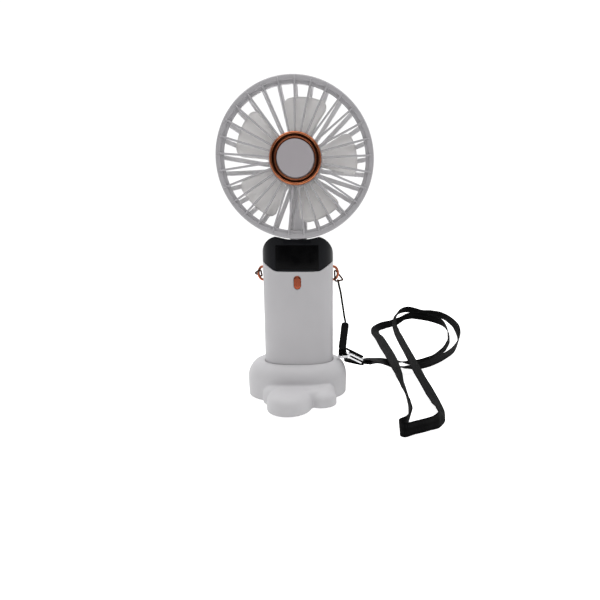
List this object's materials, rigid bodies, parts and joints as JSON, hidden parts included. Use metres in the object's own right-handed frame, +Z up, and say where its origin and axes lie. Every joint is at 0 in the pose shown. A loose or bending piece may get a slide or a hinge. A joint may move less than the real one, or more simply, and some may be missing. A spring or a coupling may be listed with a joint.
{
  "type": "handheld electric fan",
  "caption": "Battery hand fan with a round grilled head that folds back on its handle, a display cap, a wrist lanyard and a cloud-shaped desk stand.",
  "frame": {"origin": "on the desk face under the stand, on the axis of the upright handle", "axes": "+Z up along the handle, the fan blows towards -Y, +X to the right seen from the front"},
  "size_m": [0.2199, 0.3215, 0.2016],
  "materials": {
    "stand_plastic": "matte white moulded ABS",
    "sole_rubber": "grey anti-slip foam rubber",
    "steel": "plain steel",
    "shell_plastic": "satin white moulded ABS",
    "inner_plastic": "black moulded plastic",
    "cell_wrap": "shrink-wrapped lithium cell",
    "circuit_board": "green circuit board",
    "cap_plastic": "satin near-black plastic",
    "window_gloss": "smoked gloss lens",
    "copper_trim": "polished rose-gold plating",
    "dark_copper_wire": "dark copper wire",
    "badge_satin": "satin silver-grey paint",
    "blade_plastic": "slightly see-through warm white plastic",
    "magnet": "bonded ferrite",
    "winding": "enamelled copper wire",
    "webbing": "black ribbed polyester webbing",
    "sleeve_plastic": "black moulded plastic",
    "crimp_metal": "bright nickel plate"
  },
  "bodies": {
    "stand": {"stand_shell": "stand_plastic", "stand_bottom_plate": "stand_plastic", "anti_slip_sole": "sole_rubber", "stand_screw_1": "steel", "stand_screw_2": "steel", "stand_screw_3": "steel", "stand_screw_4": "steel"},
    "handle": {"handle_sleeve": "shell_plastic", "handle_bottom_cap": "shell_plastic", "inner_chassis": "inner_plastic", "battery_cell_1": "cell_wrap", "battery_cell_2": "cell_wrap", "control_board": "circuit_board", "charge_board": "circuit_board", "usb_c_socket": "steel", "display_module": "inner_plastic", "display_cap": "cap_plastic", "display_window": "window_gloss", "tact_switch": "inner_plastic", "hinge_pin": "steel", "hinge_washer_left": "inner_plastic", "hinge_washer_right": "inner_plastic", "lanyard_loop_left": "copper_trim", "lanyard_loop_right": "copper_trim", "wire_link_right": "dark_copper_wire", "lanyard_string": "webbing", "lanyard_sleeve": "sleeve_plastic", "lanyard_tab": "webbing", "lanyard_crimp": "crimp_metal", "wrist_strap": "webbing"},
    "button": {"power_button": "copper_trim"},
    "left_link": {"wire_link_left": "dark_copper_wire"},
    "head": {"front_grille": "shell_plastic", "hub_trim_ring": "copper_trim", "hub_badge_disc": "badge_satin", "rear_grille": "shell_plastic", "rear_hub_cover": "shell_plastic", "motor_mount": "shell_plastic", "motor_screw_1": "steel", "motor_screw_2": "steel", "motor_screw_3": "steel", "motor_board": "circuit_board", "stator_core": "steel", "stator_coil_1": "winding", "stator_coil_2": "winding", "stator_coil_3": "winding", "stator_coil_4": "winding", "stator_coil_5": "winding", "stator_coil_6": "winding", "bearing_front": "steel", "bearing_rear": "steel"},
    "rotor": {"impeller": "blade_plastic", "rotor_bell": "steel", "magnet_ring": "magnet", "motor_shaft": "steel"}
  },
  "joints": [
    {"name": "lift_out", "type": "slide", "parent": "stand", "child": "handle", "axis": [0, 0, 1], "range_m": [0, 0.025]},
    {"name": "head_tilt", "type": "hinge", "parent": "handle", "child": "head", "pos_m": [0, 0.011, 0.1015], "axis": [-1, 0, 0], "range_deg": [0, 90]},
    {"name": "rotor_spin", "type": "hinge", "parent": "head", "child": "rotor", "pos_m": [0, 0, 0.1536], "axis": [0, -1, 0], "continuous": true},
    {"name": "button_press", "type": "slide", "parent": "handle", "child": "button", "axis": [0, 1, 0], "range_m": [0, 0.0006], "stiffness_N_per_m": 600},
    {"name": "link_swing", "type": "hinge", "parent": "handle", "child": "left_link", "pos_m": [-0.02665, 0, 0.0831], "axis": [0, 0, 1], "range_deg": [-10, 10]}
  ]
}
